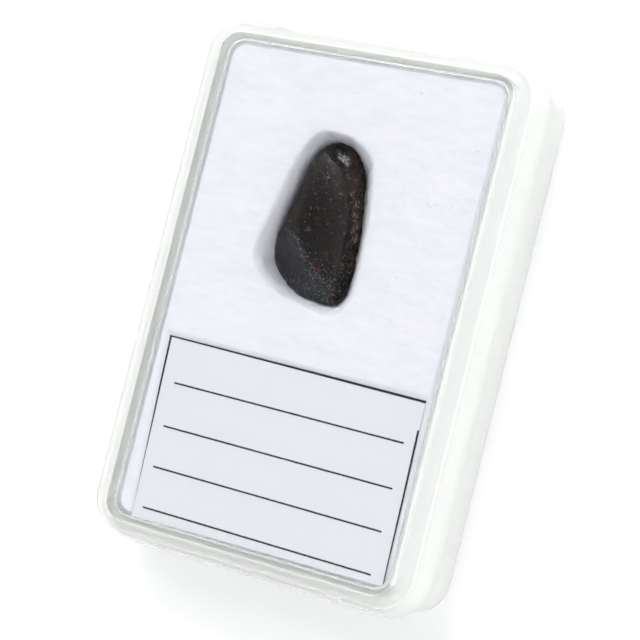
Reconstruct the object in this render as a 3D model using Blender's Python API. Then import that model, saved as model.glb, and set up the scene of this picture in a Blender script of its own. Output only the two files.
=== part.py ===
"""A chondrite meteorite bedded in cotton inside a small clear plastic display case.

The case lies on its back: its underside is at z = 0, the raised window faces +Z, the stone's end
points to +Y and the label's right side to +X. Run with: blender --background --python part.py
"""

import math

import bmesh
import bpy
from mathutils import Vector

MM = 0.001

# Case, in millimetres: half widths (x), half lengths (y) and corner radii of its outlines
HEIGHT = 13.0
WALL = 1.0
WINDOW = (21.1, 33.0, 3.3)
WINDOW_RISE = 1.0
RIM = (23.2, 34.3, 4.6)
SKIRT = (24.3, 35.4, 5.7)
SKIRT_FOOT = 7.8
BASE = (23.8, 34.9, 5.2)
BASE_TOP = 7.5
BASE_DRAFT = 0.15
BASE_CURVE = 1.1
FLOOR = 1.2
LIP = (22.3, 33.4, 3.7)
LIP_TOP = 9.4
LIP_WALL = 0.7
SHELF = 1.1
FILLET = 0.4
EDGE = 0.25
CORNER_STEPS = 6

# Snap bumps on the lid's two end walls
BUMP_X = 13.2
BUMP_WIDTH = 3.0
BUMP_HEIGHT = 0.35
BUMP_DEPTH = 1.0

# Cotton pad
PAD = (21.2, 32.3, 3.0)
PAD_FOOT = 1.5
PAD_EDGE = 9.5
PAD_TOP = 11.5
PAD_SHOULDER = 2.8
PAD_CELL = 2.1
DIMPLE_DEPTH = 4.3
DIMPLE_REACH = 5.2

# Paper label: left, right, lower and upper edges, thickness and the height of its underside
LABEL = (-17.9, 18.9, -31.2, -8.0)
LABEL_THICK = 0.25
LABEL_FOOT = 11.2
LABEL_BED = 0.4
LABEL_MARGIN = 2.2

# Clearance between pieces that touch
GAP = 0.32

# Stone: cross sections along y, in millimetres
# (y, left side x, ridge x, right side x, top z, ridge z, underside z)
STONE_SECTIONS = (
    (20.9, -4.15, -1.0, -0.5, 9.5, 8.8, 6.2),
    (19.6, -5.25, -0.2, 0.55, 10.7, 9.9, 5.3),
    (17.6, -6.05, 0.55, 1.5, 11.2, 10.4, 4.5),
    (14.8, -6.65, 1.4, 1.95, 11.4, 10.6, 3.8),
    (11.8, -7.25, 2.0, 2.35, 11.4, 10.5, 3.4),
    (8.8, -8.0, 2.65, 3.0, 11.3, 10.2, 3.3),
    (6.2, -8.6, 3.1, 3.85, 11.0, 9.8, 3.4),
    (4.0, -8.6, 3.6, 4.45, 10.5, 9.3, 3.8),
    (2.2, -6.7, 3.5, 4.45, 9.6, 8.7, 4.6),
    (1.0, -4.1, 2.5, 3.4, 8.5, 8.0, 5.6),
)
STONE_TIP = (-2.5, 21.75, 7.7)
STONE_FOOT_END = (-0.5, 0.35, 7.0)
STONE_WAIST = 6.9
SIDE_LEAN = 0.5
BROW = 0.28
UPPER_ROUND = 0.12
LOWER_ROUND = 0.17

# The subdivided skin shrinks from its sections, so they are drawn this much larger
STONE_CAGE = 1.05

# Broken faces of the stone: a point on each, its outward direction and how fully it is flattened
STONE_FACETS = (
    ((-4.9, 8.3, 10.6), (-0.40, -0.44, 0.80), 0.85),
    ((2.4, 10.0, 8.0), (0.98, -0.12, 0.12), 0.6),
)

# Pits and hollows in the stone: the middle, the radius and the depth
STONE_HOLLOWS = (
    ((1.05, 18.4, 9.9), 0.9, 0.45),
    ((2.3, 14.0, 9.2), 1.6, 0.3),
    ((3.1, 8.6, 8.4), 1.5, 0.3),
    ((2.9, 3.2, 8.6), 1.4, 0.35),
    ((-4.6, 2.4, 8.6), 1.3, 0.25),
    ((0.6, 0.9, 8.3), 1.1, 0.3),
)


def clear_scene():
    for item in list(bpy.data.objects):
        bpy.data.objects.remove(item, do_unlink=True)


def material(name, colour, roughness, transmission=0.0, ior=1.5):
    made = bpy.data.materials.new(name)
    made.use_nodes = True
    shader = made.node_tree.nodes["Principled BSDF"]
    shader.inputs["Base Color"].default_value = (*colour, 1.0)
    shader.inputs["Roughness"].default_value = roughness
    shader.inputs["Metallic"].default_value = 0.0
    shader.inputs["Transmission Weight"].default_value = transmission
    shader.inputs["IOR"].default_value = ior
    return made


def add_object(name, shape, look=None, sharp_angle=None):
    """Turns a bmesh in millimetres into a named object in metres."""
    bmesh.ops.recalc_face_normals(shape, faces=shape.faces)
    bmesh.ops.scale(shape, vec=(MM, MM, MM), verts=shape.verts)
    mesh = bpy.data.meshes.new(name)
    shape.to_mesh(mesh)
    shape.free()
    made = bpy.data.objects.new(name, mesh)
    bpy.context.scene.collection.objects.link(made)
    if look is not None:
        mesh.materials.append(look)
    if sharp_angle is not None:
        mesh.shade_smooth()
        mesh.set_sharp_from_angle(angle=math.radians(sharp_angle))
    return made


def inset(outline, amount):
    """The outline (half x, half y, radius) moved inwards by an amount."""
    half_x, half_y, radius = outline
    return half_x - amount, half_y - amount, max(radius - amount, 0.4)


def rounded_ring(outline, z, bump=0.0):
    """Points round a rounded rectangle, anticlockwise, with small bumps on its two end sides."""
    half_x, half_y, radius = outline
    points = []
    corners = ((1, 1, 0.0), (-1, 1, 90.0), (-1, -1, 180.0), (1, -1, 270.0))
    for side_x, side_y, start in corners:
        centre_x = side_x * (half_x - radius)
        centre_y = side_y * (half_y - radius)
        for step in range(CORNER_STEPS + 1):
            angle = math.radians(start + 90.0 * step / CORNER_STEPS)
            x = centre_x + radius * math.cos(angle)
            y = centre_y + radius * math.sin(angle)
            points.append((x, y, z))
        # After the corners at +x, +y and at -x, -y comes one of the end sides
        if side_x == side_y:
            for middle in (side_x * BUMP_X, -side_x * BUMP_X):
                for part in (-1.0, -0.5, 0.0, 0.5, 1.0):
                    x = middle - side_x * part * BUMP_WIDTH / 2
                    rise = bump * math.cos(part * math.pi / 2) ** 2
                    points.append((x, side_y * (half_y + rise), z))
    return points


def loft(rings):
    """A closed body through a row of rings, with a flat face across the first and the last."""
    shape = bmesh.new()
    rows = [[shape.verts.new(point) for point in ring] for ring in rings]
    for low, high in zip(rows, rows[1:]):
        for index in range(len(low)):
            following = (index + 1) % len(low)
            shape.faces.new((low[index], low[following], high[following], high[index]))
    shape.faces.new(rows[0])
    shape.faces.new(rows[-1])
    return shape


def make_lid(look):
    """A raised window, a ledge round it and a skirt that widens towards the base."""
    ledge = HEIGHT - WINDOW_RISE
    rings = [
        rounded_ring(inset(WINDOW, WALL), HEIGHT - WALL),
        rounded_ring(inset(WINDOW, WALL), ledge - WALL),
        rounded_ring(inset(RIM, WALL), ledge - WALL),
        rounded_ring(inset(SKIRT, WALL), SKIRT_FOOT),
        rounded_ring(SKIRT, SKIRT_FOOT),
        rounded_ring(RIM, ledge - BUMP_DEPTH),
        rounded_ring(RIM, ledge - EDGE, BUMP_HEIGHT),
        rounded_ring(inset(RIM, EDGE), ledge, BUMP_HEIGHT),
        rounded_ring(WINDOW, ledge),
        rounded_ring(WINDOW, HEIGHT - EDGE),
        rounded_ring(inset(WINDOW, EDGE), HEIGHT),
    ]
    return add_object("case_lid", loft(rings), look, 30)


def make_base(look):
    """A tray whose inner lip stands up inside the lid's skirt, with a rounded lower edge."""
    inner_lip = inset(LIP, LIP_WALL)
    rings = [
        rounded_ring(inset(BASE, WALL + FILLET), FLOOR),
        rounded_ring(inset(BASE, WALL), FLOOR + FILLET),
        rounded_ring(inset(BASE, WALL), BASE_TOP - SHELF),
        rounded_ring(inner_lip, BASE_TOP - SHELF + FILLET),
        rounded_ring(inner_lip, LIP_TOP),
        rounded_ring(LIP, LIP_TOP),
        rounded_ring(LIP, BASE_TOP),
        rounded_ring(BASE, BASE_TOP),
    ]
    lower = inset(BASE, BASE_DRAFT)
    for angle in (0, 30, 60, 90):
        turn = math.radians(angle)
        drawn_in = BASE_CURVE * (1 - math.cos(turn))
        height = BASE_CURVE * (1 - math.sin(turn))
        rings.append(rounded_ring(inset(lower, drawn_in), height))
    return add_object("case_base", loft(rings), look, 30)


def stone_section(section):
    """Ten points round the stone at one place along it."""
    y, left, ridge, right, top, ridge_height, under = section
    middle = (left + ridge) / 2
    width = right - left
    depth = top - under
    points = (
        (left, STONE_WAIST),
        (left + SIDE_LEAN, (STONE_WAIST + top) / 2),
        (left + BROW * (middle - left), top - UPPER_ROUND * depth),
        (middle, top),
        (ridge, ridge_height),
        (right, (STONE_WAIST + ridge_height) / 2),
        (right, STONE_WAIST - SIDE_LEAN),
        (right - LOWER_ROUND * width, under + LOWER_ROUND * depth),
        ((left + right) / 2, under),
        (left + LOWER_ROUND * width, under + LOWER_ROUND * depth),
    )
    centre_x = (left + right) / 2
    centre_z = (top + under) / 2
    ring = []
    for x, z in points:
        wide_x = centre_x + (x - centre_x) * STONE_CAGE
        wide_z = centre_z + (z - centre_z) * STONE_CAGE
        ring.append(Vector((wide_x, y, wide_z)))
    return ring


def flatten_facets(points):
    """Presses the points that stand outside a broken face back towards it."""
    for point in points:
        for on_face, outward, amount in STONE_FACETS:
            direction = Vector(outward).normalized()
            proud = (point - Vector(on_face)).dot(direction)
            if proud > 0:
                point -= direction * proud * amount


def press_hollows(stone):
    """Presses the pits and hollows in, each deepest at its middle."""
    stone.normal_update()
    moves = []
    for vert in stone.verts:
        depth = 0.0
        for middle, radius, deepest in STONE_HOLLOWS:
            reach = (vert.co - Vector(middle)).length / radius
            if reach < 1:
                depth += deepest * (1 - reach * reach) ** 2
        moves.append(vert.normal * depth)
    for vert, move in zip(stone.verts, moves):
        vert.co -= move


def stone_shape(grow=0.0, levels=2):
    """The stone as a subdivided skin over its sections, grown outwards by an amount in mm."""
    shape = bmesh.new()
    rows = []
    for section in STONE_SECTIONS:
        ring = stone_section(section)
        rows.append([shape.verts.new(point) for point in ring])
    for low, high in zip(rows, rows[1:]):
        for index in range(len(low)):
            following = (index + 1) % len(low)
            shape.faces.new((low[index], low[following], high[following], high[index]))
    for row, end in ((rows[0], STONE_TIP), (rows[-1], STONE_FOOT_END)):
        pole = shape.verts.new(end)
        for index in range(len(row)):
            shape.faces.new((row[index], row[(index + 1) % len(row)], pole))
    bmesh.ops.recalc_face_normals(shape, faces=shape.faces)

    cage = bpy.data.meshes.new("stone_cage")
    shape.to_mesh(cage)
    shape.free()
    holder = bpy.data.objects.new("stone_cage", cage)
    bpy.context.scene.collection.objects.link(holder)
    skin = holder.modifiers.new("skin", "SUBSURF")
    skin.levels = levels
    skin.render_levels = levels
    smooth = holder.evaluated_get(bpy.context.evaluated_depsgraph_get()).to_mesh()
    stone = bmesh.new()
    stone.from_mesh(smooth)
    bpy.data.objects.remove(holder, do_unlink=True)

    flatten_facets([vert.co for vert in stone.verts])
    press_hollows(stone)
    if grow:
        stone.normal_update()
        moved = [vert.co + vert.normal * grow for vert in stone.verts]
        for vert, place in zip(stone.verts, moved):
            vert.co = place
    return stone


def outline_at(y):
    """The stone's left and right sides at one place along it, read between its sections."""
    rows = [(STONE_TIP[1], STONE_TIP[0], STONE_TIP[0])]
    rows += [(section[0], section[1], section[3]) for section in STONE_SECTIONS]
    rows.append((STONE_FOOT_END[1], STONE_FOOT_END[0], STONE_FOOT_END[0]))
    y = min(max(y, rows[-1][0]), rows[0][0])
    for upper, lower in zip(rows, rows[1:]):
        if upper[0] >= y >= lower[0]:
            share = (upper[0] - y) / (upper[0] - lower[0])
            left = upper[1] + (lower[1] - upper[1]) * share
            right = upper[2] + (lower[2] - upper[2]) * share
            return left, right
    return rows[0][1], rows[0][2]


def away_from_stone(x, y):
    """Distance from the stone's outline seen from above, zero inside it."""
    nearest = None
    for step in range(25):
        along = STONE_FOOT_END[1] + (STONE_TIP[1] - STONE_FOOT_END[1]) * step / 24
        left, right = outline_at(along)
        across = max(left - x, x - right, 0.0)
        distance = math.hypot(across, y - along)
        if nearest is None or distance < nearest:
            nearest = distance
    return nearest


def ease(value):
    value = min(max(value, 0.0), 1.0)
    return value * value * (3 - 2 * value)


def pad_height(x, y):
    """The cotton's upper surface: crowned at the edge, hollowed at the stone, flat at the label."""
    half_x, half_y, _ = PAD
    from_edge = min(half_x - abs(x), half_y - abs(y))
    height = PAD_EDGE + (PAD_TOP - PAD_EDGE) * ease(from_edge / PAD_SHOULDER)
    hollow = 1 - ease(away_from_stone(x, y) / DIMPLE_REACH)
    height -= DIMPLE_DEPTH * hollow
    left, right, lower, upper = LABEL
    outside = max(left - x, x - right, lower - y, y - upper, 0.0)
    under_label = LABEL_FOOT - LABEL_BED
    if height > under_label:
        share = ease((outside - LABEL_MARGIN) / LABEL_MARGIN)
        height = under_label + (height - under_label) * share
    return height


def pull_into_outline(x, y, outline):
    """Moves a point of a square corner onto the rounded one."""
    half_x, half_y, radius = outline
    over_x = abs(x) - (half_x - radius)
    over_y = abs(y) - (half_y - radius)
    if over_x > 0 and over_y > 0:
        reach = math.hypot(over_x, over_y)
        if reach > radius:
            x = math.copysign(half_x - radius + over_x * radius / reach, x)
            y = math.copysign(half_y - radius + over_y * radius / reach, y)
    return x, y


def make_pad(look):
    """Cotton wadding: a soft block with a hollow, in which the stone's own form is pressed."""
    half_x, half_y, _ = PAD
    columns = round(2 * half_x / PAD_CELL)
    rows = round(2 * half_y / PAD_CELL)
    shape = bmesh.new()
    grid = []
    for row in range(rows + 1):
        line = []
        for column in range(columns + 1):
            square_x = -half_x + 2 * half_x * column / columns
            square_y = -half_y + 2 * half_y * row / rows
            x, y = pull_into_outline(square_x, square_y, PAD)
            line.append(shape.verts.new((x, y, pad_height(x, y))))
        grid.append(line)
    for low, high in zip(grid, grid[1:]):
        for column in range(columns):
            shape.faces.new((low[column], low[column + 1], high[column + 1], high[column]))
    border = grid[0][:]
    border += [line[-1] for line in grid[1:]]
    border += grid[-1][-2::-1]
    border += [line[0] for line in grid[-2:0:-1]]
    foot = [shape.verts.new((vert.co.x, vert.co.y, PAD_FOOT)) for vert in border]
    for index in range(len(border)):
        following = (index + 1) % len(border)
        shape.faces.new((border[index], foot[index], foot[following], border[following]))
    shape.faces.new(foot)
    pad = add_object("cotton_pad", shape, look)

    cutter = add_object("stone_bed", stone_shape(grow=GAP, levels=1))
    cutter.hide_render = True
    cutter.display_type = "WIRE"
    bed = pad.modifiers.new("bed", "BOOLEAN")
    bed.operation = "DIFFERENCE"
    bed.solver = "EXACT"
    bed.object = cutter
    return pad


def make_label(look):
    """A plain paper card that lies on the cotton just under the window."""
    left, right, lower, upper = LABEL
    shape = bmesh.new()
    bmesh.ops.create_cube(shape, size=1.0)
    bmesh.ops.scale(shape, vec=(right - left, upper - lower, LABEL_THICK), verts=shape.verts)
    middle = ((left + right) / 2, (lower + upper) / 2, LABEL_FOOT + LABEL_THICK / 2)
    bmesh.ops.translate(shape, vec=middle, verts=shape.verts)
    return add_object("label_card", shape, look)


def main():
    clear_scene()
    clear_plastic = material("clear_polystyrene", (0.92, 0.95, 0.93), 0.04, 1.0, 1.59)
    base_plastic = material("clear_polystyrene_base", (0.90, 0.94, 0.92), 0.05, 1.0, 1.59)
    cotton = material("cotton_wadding", (0.84, 0.84, 0.87), 0.95)
    paper = material("label_paper", (0.80, 0.83, 0.87), 0.8)
    crust = material("weathered_stone", (0.028, 0.023, 0.022), 0.42)

    add_object("meteorite", stone_shape(), crust, 60)
    make_pad(cotton)
    make_label(paper)
    make_lid(clear_plastic)
    make_base(base_plastic)


main()
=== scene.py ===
# %% [markdown]
# # A chondrite meteorite in its display case
#
# A small dark stone, polished smooth by weather and handling, is bedded in white cotton under the
# window of a clear plastic case. A ruled paper label lies on the cotton below it. This lesson
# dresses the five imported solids: each one gets a finer mesh of the same size in the same place.

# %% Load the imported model
import math

import bmesh
import bpy
import numpy as np
from mathutils import Matrix, Vector, noise
from mathutils.bvhtree import BVHTree


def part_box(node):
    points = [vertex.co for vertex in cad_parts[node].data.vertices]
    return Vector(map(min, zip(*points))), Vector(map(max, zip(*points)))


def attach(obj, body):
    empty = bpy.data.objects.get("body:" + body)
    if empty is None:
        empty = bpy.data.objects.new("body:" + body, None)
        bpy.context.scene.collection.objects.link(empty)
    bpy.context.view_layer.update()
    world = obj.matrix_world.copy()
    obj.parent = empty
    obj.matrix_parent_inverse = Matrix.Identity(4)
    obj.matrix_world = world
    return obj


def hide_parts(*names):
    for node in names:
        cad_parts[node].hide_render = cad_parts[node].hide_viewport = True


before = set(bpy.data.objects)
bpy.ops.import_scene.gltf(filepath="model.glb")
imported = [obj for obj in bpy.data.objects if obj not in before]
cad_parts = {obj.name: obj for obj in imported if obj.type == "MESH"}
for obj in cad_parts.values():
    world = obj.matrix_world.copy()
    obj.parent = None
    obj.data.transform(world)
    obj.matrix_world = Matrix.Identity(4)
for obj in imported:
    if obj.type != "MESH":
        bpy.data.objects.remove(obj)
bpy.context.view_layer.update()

print("packed nodes:", sorted(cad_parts))

# %% [markdown]
# ## Units
#
# Blender works in metres and this object is as long as a thumb, so every size below is written in
# millimetres. Meshes are built in millimetres too, and shrunk once when they become objects.

# %% Units and small helpers
MM = 0.001


def ease(value):
    """0 to 1 with a soft start and a soft end."""
    value = np.clip(value, 0.0, 1.0)
    return value * value * (3 - 2 * value)


def add_piece(name, mesh_mm, sharp_angle=None):
    """An object at the origin from a bmesh in millimetres; its place is in its mesh."""
    bmesh.ops.scale(mesh_mm, vec=(MM, MM, MM), verts=mesh_mm.verts)
    mesh = bpy.data.meshes.new(name)
    mesh_mm.to_mesh(mesh)
    mesh_mm.free()
    mesh.shade_smooth()
    if sharp_angle is not None:
        mesh.set_sharp_from_angle(angle=math.radians(sharp_angle))
    piece = bpy.data.objects.new(name, mesh)
    bpy.context.scene.collection.objects.link(piece)
    print(f"{name}: {len(mesh.vertices)} points, {len(mesh.polygons)} faces")
    return piece


def rows_of(mesh, kind):
    """A mesh's points ("co") or their normals ("normal") as rows of x, y and z."""
    flat = np.empty(len(mesh.vertices) * 3)
    mesh.vertices.foreach_get(kind, flat)
    return flat.reshape(-1, 3)


# %% [markdown]
# ## The camera
#
# The case lies on its back and the camera looks down on it from its right side, 26 degrees off the
# upright, through a long lens. The camera is turned about its own axis as well, so that the case
# stands askew in the picture.

# %% Camera
LENS = 112.5
CAMERA_TARGET = Vector((1.86, -1.55, 11.0))
CAMERA_BACK = Vector((0.43871, -0.0349, 0.89795))
CAMERA_DISTANCE = 252.75
CAMERA_ROLL = 14.09

camera_data = bpy.data.cameras.new("camera")
camera_data.lens = LENS
camera_data.clip_start = 0.01
camera_data.clip_end = 20.0
camera = bpy.data.objects.new("camera", camera_data)
bpy.context.scene.collection.objects.link(camera)
bpy.context.scene.camera = camera
camera.location = (CAMERA_TARGET + CAMERA_BACK * CAMERA_DISTANCE) * MM
along_y = Vector((0, 1, 0))
picture_up = (along_y - CAMERA_BACK * along_y.dot(CAMERA_BACK)).normalized()
picture_right = picture_up.cross(CAMERA_BACK)
upright = Matrix((picture_right, picture_up, CAMERA_BACK)).transposed()
roll = Matrix.Rotation(math.radians(CAMERA_ROLL), 3, "Z")
camera.rotation_euler = (upright @ roll).to_euler()
print("camera at", [round(c, 4) for c in camera.location])

# %% [markdown]
# ## Light and floor
#
# Specimens like this are photographed in a tent of white cloth: soft light from all sides, a broad
# bright panel and a small strong lamp beyond the stone's end, and a white card that stands beside
# the case on its right. The window mirrors what hangs opposite the camera, so that patch of the
# tent is dark. The tent is one sky around the scene, so its light depends only on the direction
# one looks in.

# %% Light tent and floor
TENT_LIGHT = 0.84
# Each patch of the tent: the direction it lies in, where its soft edge starts and ends, its light
PATCHES = (
    (Vector((-0.35, 0.60, 0.72)).normalized(), (14.0, 38.0), 3.0),
    (Vector((-0.144, 0.73, 0.666)).normalized(), (9.0, 13.0), 11.0),
    (Vector((0.95, -0.20, 0.24)).normalized(), (18.0, 55.0), 1.9),
    (Vector((-CAMERA_BACK.x, -CAMERA_BACK.y, CAMERA_BACK.z)), (10.0, 30.0), 0.02),
)
FLOOR_SIZE = 6.0
FLOOR_GAP = 0.05

scene = bpy.context.scene
scene.view_settings.view_transform = "Standard"
scene.view_settings.look = "None"


def set_inputs(tree, node, inputs):
    """Sets a node's inputs: an output is linked, anything else becomes the socket's value."""
    for name, value in inputs.items():
        if isinstance(name, int):
            socket = node.inputs[name]
        else:
            socket = next(s for s in node.inputs if s.name == name and s.enabled)
        if isinstance(value, bpy.types.NodeSocket):
            tree.links.new(value, socket)
        else:
            socket.default_value = value


def add(tree, kind, inputs=None, out=None, **settings):
    """Adds a node with its settings and links, and returns the named output or the first in use."""
    node = tree.nodes.new(kind)
    for name, value in settings.items():
        setattr(node, name, value)
    set_inputs(tree, node, inputs or {})
    return next((s for s in node.outputs if s.enabled and out in (None, s.name)), None)


world = bpy.data.worlds.new("light_tent")
scene.world = world
world.use_nodes = True
tent = world.node_tree
direction = add(tent, "ShaderNodeTexCoord", out="Generated")
strength = TENT_LIGHT
for middle, edges, light in PATCHES:
    towards = add(
        tent, "ShaderNodeVectorMath", {0: direction, 1: middle}, out="Value", operation="DOT_PRODUCT")
    inner, outer = (math.cos(math.radians(edge)) for edge in edges)
    strength = add(tent, "ShaderNodeMapRange", {
        "Value": towards, "From Min": outer, "From Max": inner, "To Min": strength, "To Max": light,
    }, interpolation_type="SMOOTHSTEP")
set_inputs(tent, tent.nodes["Background"], {"Color": (1.0, 1.0, 1.0, 1.0), "Strength": strength})

# The case stands on a thin layer of air, so that its clear foot and the floor don't touch
floor_shape = bmesh.new()
bmesh.ops.create_grid(floor_shape, x_segments=2, y_segments=2, size=FLOOR_SIZE / 2 / MM)
bmesh.ops.translate(floor_shape, vec=(0, 0, -FLOOR_GAP), verts=floor_shape.verts)
floor = add_piece("floor", floor_shape)
print("light tent with", len(PATCHES), "patches, floor", FLOOR_SIZE, "m wide")

# %% [markdown]
# ## Light through clear plastic
#
# A ray that looks at the cotton crosses the window twice, and one that looks along a wall may cross
# a dozen surfaces. Cycles gives up early by default, which paints clear walls black, so the limits
# are raised. Its glossy filter is switched off: behind a pane it would turn the light frosted.

# %% Light paths
scene.cycles.max_bounces = 32
scene.cycles.transmission_bounces = 32
scene.cycles.glossy_bounces = 16
scene.cycles.diffuse_bounces = 8
scene.cycles.blur_glossy = 0.0
print("a ray may meet", scene.cycles.max_bounces, "surfaces")

# %% [markdown]
# ## Colours and finishes
#
# Colours are picked as sRGB hex values, as a paint chart gives them, and Blender's shaders want
# linear ones. Patterns are scaled from real sizes: a texture's scale is how many features fit in
# a metre.


# %% Colour and material helpers
def hex_colour(code):
    """An sRGB hex value as linear red, green, blue and alpha."""
    parts = [int(code[start:start + 2], 16) / 255 for start in (1, 3, 5)]
    linear = [part / 12.92 if part <= 0.04045 else ((part + 0.055) / 1.055) ** 2.4 for part in parts]
    return (*linear, 1.0)


def per_metre(feature_mm):
    """A texture's scale for features of this size."""
    return 1 / (feature_mm * MM)


def new_finish(name, **constants):
    """A material with its Principled shader's constant values set."""
    made = bpy.data.materials.new(name)
    made.use_nodes = True
    shader = made.node_tree.nodes["Principled BSDF"]
    set_inputs(made.node_tree, shader, {key.replace("_", " "): value for key, value in constants.items()})
    return made, made.node_tree, shader


# A light table of opal acrylic, sanded matt: it glows a little, which keeps clear plastic clear
backdrop, _, _ = new_finish(
    "opal_light_table", Base_Color=hex_colour("#cbcccd"), Roughness=1.0,
    Emission_Color=hex_colour("#ffffff"), Emission_Strength=0.36,
)
floor.data.materials.append(backdrop)
print("floor finish:", backdrop.name)

# %% [markdown]
# ## The stone's shape
#
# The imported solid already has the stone's outline, its long ridge and its broken corner, but in
# facets half a millimetre wide. A voxel remesh lays an even skin over it, a little smoothing rounds
# the facets away, and noise that follows the real surface brings the relief: nearly smooth on the
# worn front, rough on the side that was never polished and on the foot.

# %% Stone sizes
SAME_POINT_M = 1e-7
SKIN_CELL = 0.11
SMOOTH_ROUNDS = 8

# Each kind of skin fades into the next over a width, and noise makes the border wander.
# The line where the smooth dark front meets the broken corner, whose face is painted a blue-grey sheen:
CREST = (
    (-7.4, 9.3), (-6.4, 8.9), (-3.8, 7.9), (-3.0, 6.0), (-1.4, 5.1), (0.1, 3.6), (1.3, 2.9), (1.6, 1.2),
)
CREST_FADE = 2.4
CREST_WANDER = 0.7

# The ridge between the front and the rough right side, from the stone's tip to its foot:
RIDGE = (
    (-0.3, 19.4), (0.6, 17.6), (1.1, 15.8), (1.9, 12.6), (2.25, 9.9), (2.45, 8.1), (2.65, 5.9), (2.6, 3.6),
    (2.0, 1.6),
)
RIDGE_FADE = 0.5
RIDGE_WANDER = 0.25
# The rough side starts this far beyond the ridge
RIDGE_STEP = 0.1

# The foot is rough up to here
FOOT_TOP = 4.2
FOOT_FADE = 2.2
FOOT_WANDER = 0.8

# A small flat place at the tip, worn level, which catches the light: middle, facing and long axis
TIP_FACET = (-0.8, 19.6, 9.7)
TIP_NORMAL = (0.170, 0.400, 0.9006)
TIP_ALONG = (0.8435, -0.5359, 0.0788)
# Where the wear ends: along the facet, across it, and above and below it
TIP_REACH = (3.3, 1.9, 2.0)
TIP_FADE = 0.6
# The facet is worn to this far below its middle, and what lies lower still rises by this share
TIP_WEAR = 0.12
TIP_FILL = 0.4
TIP_RELIEF_LOST = 0.75

FRONT_RELIEF = 0.035
SIDE_RELIEF = 0.17
FOOT_RELIEF = 0.16
# How much of the relief is fine or coarse, on the smooth front and in the rough places
FRONT_FINE = 0.5
ROUGH_FINE = 0.4
ROUGH_COARSE = 0.6


def distance_to_line(points, line):
    """Each point's distance from a line of (x, y) places, seen from above, and its side of it."""
    best = np.full(len(points), np.inf)
    side = np.zeros(len(points))
    for start, end in zip(line, line[1:]):
        start, end = np.array(start), np.array(end)
        along = end - start
        offset = points[:, :2] - start
        share = np.clip(offset @ along / (along @ along), 0, 1)
        away = offset - share[:, None] * along
        distance = np.hypot(away[:, 0], away[:, 1])
        turn = along[0] * offset[:, 1] - along[1] * offset[:, 0]
        nearer = distance < best
        best[nearer] = distance[nearer]
        side[nearer] = np.sign(turn[nearer])
    return best, side


# Each octave of the noise is finer than the last by the step, and lower by the step ** the fall
OCTAVE_STEP = 2.1
OCTAVE_FALL = 0.9


def noise_at(points, feature, octaves, seed):
    """Fractal noise at each point, about -1 to 1, whose broadest features have this size."""
    values = np.empty(len(points))
    for row, point in enumerate(points):
        place = Vector(point) / feature + Vector((seed, seed * 0.7, -seed))
        values[row] = noise.fractal(place, OCTAVE_FALL, OCTAVE_STEP, octaves)
    return values


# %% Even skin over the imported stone
packed_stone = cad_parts["meteorite"]
skin = bmesh.new()
skin.from_mesh(packed_stone.data)
bmesh.ops.remove_doubles(skin, verts=skin.verts, dist=SAME_POINT_M)
bmesh.ops.scale(skin, vec=(1 / MM, 1 / MM, 1 / MM), verts=skin.verts)
skin_mesh = bpy.data.meshes.new("stone_skin")
skin.to_mesh(skin_mesh)
skin.free()
stone_holder = bpy.data.objects.new("stone_skin", skin_mesh)
scene.collection.objects.link(stone_holder)
remesh = stone_holder.modifiers.new("even_skin", "REMESH")
remesh.mode = "VOXEL"
remesh.voxel_size = SKIN_CELL
smoothing = stone_holder.modifiers.new("smooth", "SMOOTH")
smoothing.factor = 0.5
smoothing.iterations = SMOOTH_ROUNDS
stone_mesh = bpy.data.meshes.new_from_object(
    stone_holder.evaluated_get(bpy.context.evaluated_depsgraph_get()))
bpy.data.objects.remove(stone_holder)
print("even skin:", len(stone_mesh.vertices), "points")

# %% Relief of the stone
stone_points = rows_of(stone_mesh, "co")
from_tip = stone_points - np.array(TIP_FACET)
along_tip = from_tip @ np.array(TIP_ALONG)
above_tip = from_tip @ np.array(TIP_NORMAL)
across_tip = np.linalg.norm(
    from_tip - np.outer(along_tip, TIP_ALONG) - np.outer(above_tip, TIP_NORMAL), axis=1)
tip_length, tip_width, tip_height = TIP_REACH
on_tip = ease((1.0 - np.hypot(along_tip / tip_length, across_tip / tip_width)) / TIP_FADE)
on_tip = on_tip * ease((tip_height - np.abs(above_tip)) / TIP_FADE)
worn_off = above_tip + TIP_WEAR
worn_off[worn_off < 0] *= TIP_FILL
stone_points -= np.outer(worn_off * on_tip, TIP_NORMAL)
stone_normals = rows_of(stone_mesh, "normal")

from_crest, crest_side = distance_to_line(stone_points, CREST)
from_ridge, ridge_side = distance_to_line(stone_points, RIDGE)
wander = noise_at(stone_points, feature=1.3, octaves=3, seed=4.0)
# The broken corner's face gets a painted blue-grey sheen, a reflection of the white surroundings
corner_sheen = ease(0.5 - (crest_side * from_crest + CREST_WANDER * wander) / CREST_FADE)
side_face = ease(0.5 + (ridge_side * from_ridge - RIDGE_STEP + RIDGE_WANDER * wander) / RIDGE_FADE)
foot = ease((FOOT_TOP - stone_points[:, 1] + FOOT_WANDER * wander) / FOOT_FADE)

smooth_relief = noise_at(stone_points, feature=2.4, octaves=2, seed=1.0)
coarse_relief = noise_at(stone_points, feature=0.9, octaves=4, seed=2.0)
fine_relief = noise_at(stone_points, feature=0.35, octaves=3, seed=3.0)
rough = np.maximum(side_face * SIDE_RELIEF, foot * FOOT_RELIEF)
height = FRONT_RELIEF * (smooth_relief + FRONT_FINE * fine_relief)
height += rough * (ROUGH_COARSE * coarse_relief + ROUGH_FINE * fine_relief)
height *= 1 - TIP_RELIEF_LOST * on_tip
stone_points += stone_normals * height[:, None]
stone_mesh.vertices.foreach_set("co", (stone_points * MM).ravel())
stone_mesh.shade_smooth()
stone = bpy.data.objects.new("stone", stone_mesh)
scene.collection.objects.link(stone)
print("relief from", round(float(height.min()), 3), "to", round(float(height.max()), 3), "mm")


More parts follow.
